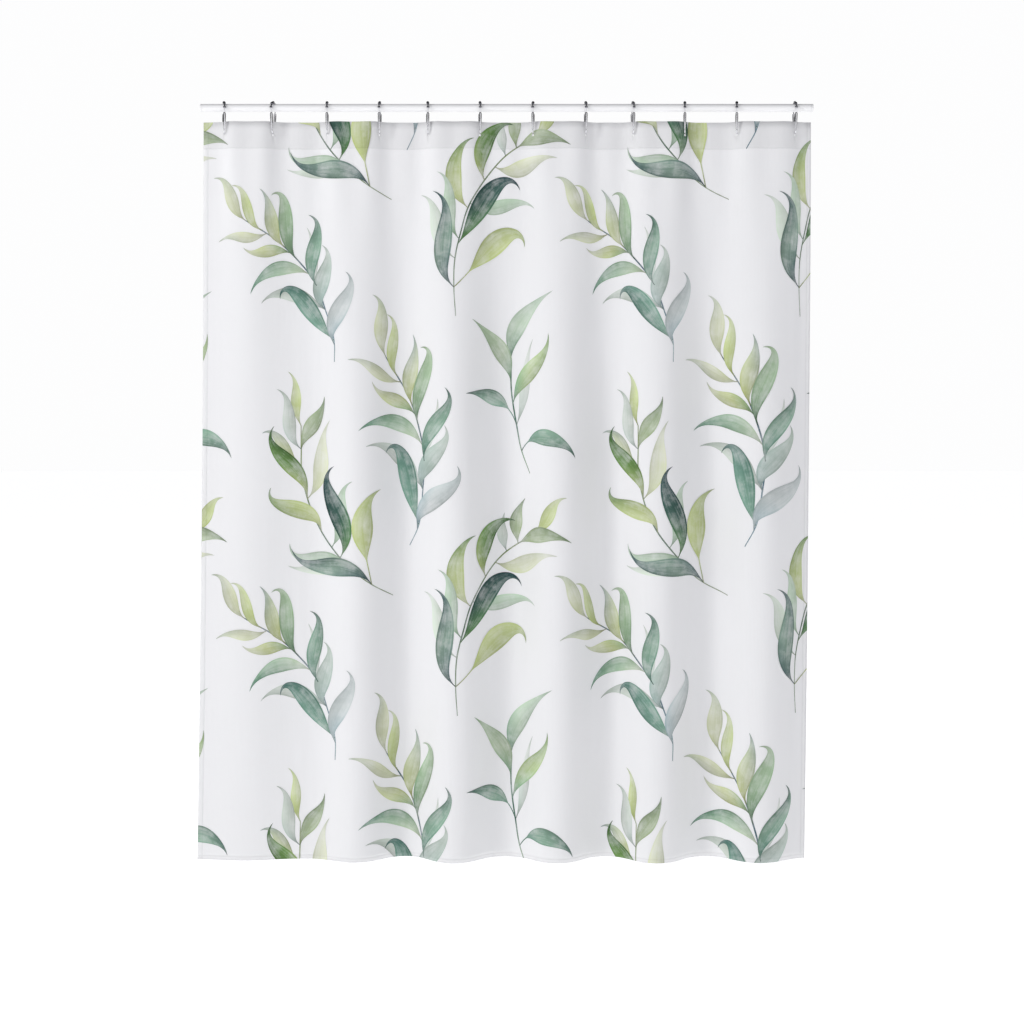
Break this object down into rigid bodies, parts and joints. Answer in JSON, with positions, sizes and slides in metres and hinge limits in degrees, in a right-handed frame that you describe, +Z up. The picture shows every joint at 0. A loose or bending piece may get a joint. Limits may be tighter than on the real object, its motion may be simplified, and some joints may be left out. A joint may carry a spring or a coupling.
{
  "type": "shower curtain",
  "caption": "Printed fabric shower curtain hung by chrome roller rings from a plain white tube rod, drawn along the rod and free to swing.",
  "frame": {"origin": "centre of the rod's left end face, as seen from the printed front", "axes": "+X along the rod to its right end, +Z up, -Y out of the printed front"},
  "size_m": [1.5692, 0.063, 1.9325],
  "materials": {
    "rod_white": "smooth gloss white enamel",
    "cap_white": "satin white moulded plastic",
    "chrome": "polished chrome, dark reflections",
    "fabric": "fine ribbed white polyester with a watercolour leaf print"
  },
  "bodies": {
    "rod": {"rod_tube": "rod_white", "rod_cap_left": "cap_white", "rod_cap_right": "cap_white"},
    "curtain_end": {"ring_wire_01": "chrome", "curtain_panel_01": "fabric"},
    "ring_02": {"ring_wire_02": "chrome", "curtain_panel_02": "fabric"},
    "ring_03": {"ring_wire_03": "chrome", "curtain_panel_03": "fabric"},
    "ring_04": {"ring_wire_04": "chrome", "curtain_panel_04": "fabric"},
    "ring_05": {"ring_wire_05": "chrome", "curtain_panel_05": "fabric"},
    "ring_06": {"ring_wire_06": "chrome", "curtain_panel_06": "fabric"},
    "ring_07": {"ring_wire_07": "chrome", "curtain_panel_07": "fabric"},
    "ring_08": {"ring_wire_08": "chrome", "curtain_panel_08": "fabric"},
    "ring_09": {"ring_wire_09": "chrome", "curtain_panel_09": "fabric"},
    "ring_10": {"ring_wire_10": "chrome", "curtain_panel_10": "fabric"},
    "ring_11": {"ring_wire_11": "chrome", "curtain_panel_11": "fabric"},
    "ring_12": {"ring_wire_12": "chrome", "curtain_panel_12": "fabric"},
    "roller_01": {"ring_roller_01": "chrome"},
    "roller_02": {"ring_roller_02": "chrome"},
    "roller_03": {"ring_roller_03": "chrome"},
    "roller_04": {"ring_roller_04": "chrome"},
    "roller_05": {"ring_roller_05": "chrome"},
    "roller_06": {"ring_roller_06": "chrome"},
    "roller_07": {"ring_roller_07": "chrome"},
    "roller_08": {"ring_roller_08": "chrome"},
    "roller_09": {"ring_roller_09": "chrome"},
    "roller_10": {"ring_roller_10": "chrome"},
    "roller_11": {"ring_roller_11": "chrome"},
    "roller_12": {"ring_roller_12": "chrome"}
  },
  "joints": [
    {"name": "swing", "type": "hinge", "parent": "rod", "child": "curtain_end", "pos_m": [0, 0, 0], "axis": [1, 0, 0], "range_deg": [-15, 15]},
    {"name": "draw", "type": "slide", "parent": "curtain_end", "child": "ring_12", "axis": [-1, 0, 0], "range_m": [0, 1.09], "deforming": ["curtain_panel_12", "curtain_panel_01"]},
    {"name": "glide_02", "type": "slide", "parent": "curtain_end", "child": "ring_02", "axis": [-1, 0, 0], "range_m": [0, 0.0943], "deforming": ["curtain_panel_02"]},
    {"name": "glide_03", "type": "slide", "parent": "curtain_end", "child": "ring_03", "axis": [-1, 0, 0], "range_m": [0, 0.1972], "deforming": ["curtain_panel_03"]},
    {"name": "glide_04", "type": "slide", "parent": "curtain_end", "child": "ring_04", "axis": [-1, 0, 0], "range_m": [0, 0.2978], "deforming": ["curtain_panel_04"]},
    {"name": "glide_05", "type": "slide", "parent": "curtain_end", "child": "ring_05", "axis": [-1, 0, 0], "range_m": [0, 0.3894], "deforming": ["curtain_panel_05"]},
    {"name": "glide_06", "type": "slide", "parent": "curtain_end", "child": "ring_06", "axis": [-1, 0, 0], "range_m": [0, 0.4892], "deforming": ["curtain_panel_06"]},
    {"name": "glide_07", "type": "slide", "parent": "curtain_end", "child": "ring_07", "axis": [-1, 0, 0], "range_m": [0, 0.5905], "deforming": ["curtain_panel_07"]},
    {"name": "glide_08", "type": "slide", "parent": "curtain_end", "child": "ring_08", "axis": [-1, 0, 0], "range_m": [0, 0.6911], "deforming": ["curtain_panel_08"]},
    {"name": "glide_09", "type": "slide", "parent": "curtain_end", "child": "ring_09", "axis": [-1, 0, 0], "range_m": [0, 0.7812], "deforming": ["curtain_panel_09"]},
    {"name": "glide_10", "type": "slide", "parent": "curtain_end", "child": "ring_10", "axis": [-1, 0, 0], "range_m": [0, 0.8803], "deforming": ["curtain_panel_10"]},
    {"name": "glide_11", "type": "slide", "parent": "curtain_end", "child": "ring_11", "axis": [-1, 0, 0], "range_m": [0, 0.9794], "deforming": ["curtain_panel_11"]},
    {"name": "roll_01", "type": "hinge", "parent": "curtain_end", "child": "roller_01", "pos_m": [0.06, 0, 0.0139], "axis": [-0.2588, 0.9659, 0], "continuous": true},
    {"name": "roll_02", "type": "hinge", "parent": "ring_02", "child": "roller_02", "pos_m": [0.18518, 0, 0.0139], "axis": [0.225, 0.9744, 0], "continuous": true},
    {"name": "roll_03", "type": "hinge", "parent": "ring_03", "child": "roller_03", "pos_m": [0.32236, 0, 0.0139], "axis": [-0.0698, 0.9976, 0], "continuous": true},
    {"name": "roll_04", "type": "hinge", "parent": "ring_04", "child": "roller_04", "pos_m": [0.45654, 0, 0.0139], "axis": [0.0523, 0.9986, 0], "continuous": true},
    {"name": "roll_05", "type": "hinge", "parent": "ring_05", "child": "roller_05", "pos_m": [0.57873, 0, 0.0139], "axis": [-0.1045, 0.9945, 0], "continuous": true},
    {"name": "roll_06", "type": "hinge", "parent": "ring_06", "child": "roller_06", "pos_m": [0.71191, 0, 0.0139], "axis": [-0.0872, 0.9962, 0], "continuous": true},
    {"name": "roll_07", "type": "hinge", "parent": "ring_07", "child": "roller_07", "pos_m": [0.84709, 0, 0.0139], "axis": [0.0698, 0.9976, 0], "continuous": true},
    {"name": "roll_08", "type": "hinge", "parent": "ring_08", "child": "roller_08", "pos_m": [0.98127, 0, 0.0139], "axis": [-0.0523, 0.9986, 0], "continuous": true},
    {"name": "roll_09", "type": "hinge", "parent": "ring_09", "child": "roller_09", "pos_m": [1.10146, 0, 0.0139], "axis": [-0.1219, 0.9925, 0], "continuous": true},
    {"name": "roll_10", "type": "hinge", "parent": "ring_10", "child": "roller_10", "pos_m": [1.23364, 0, 0.0139], "axis": [0.0872, 0.9962, 0], "continuous": true},
    {"name": "roll_11", "type": "hinge", "parent": "ring_11", "child": "roller_11", "pos_m": [1.36582, 0, 0.0139], "axis": [0.1219, 0.9925, 0], "continuous": true},
    {"name": "roll_12", "type": "hinge", "parent": "ring_12", "child": "roller_12", "pos_m": [1.514, 0, 0.0139], "axis": [-0.0872, 0.9962, 0], "continuous": true}
  ],
  "couplings": [
    {"joint": "glide_02", "follows": "draw", "ratio": 0.086095},
    {"joint": "glide_03", "follows": "draw", "ratio": 0.18044},
    {"joint": "glide_04", "follows": "draw", "ratio": 0.27273},
    {"joint": "glide_05", "follows": "draw", "ratio": 0.35676},
    {"joint": "glide_06", "follows": "draw", "ratio": 0.44836},
    {"joint": "glide_07", "follows": "draw", "ratio": 0.54133},
    {"joint": "glide_08", "follows": "draw", "ratio": 0.63361},
    {"joint": "glide_09", "follows": "draw", "ratio": 0.71627},
    {"joint": "glide_10", "follows": "draw", "ratio": 0.80718},
    {"joint": "glide_11", "follows": "draw", "ratio": 0.89809}
  ]
}
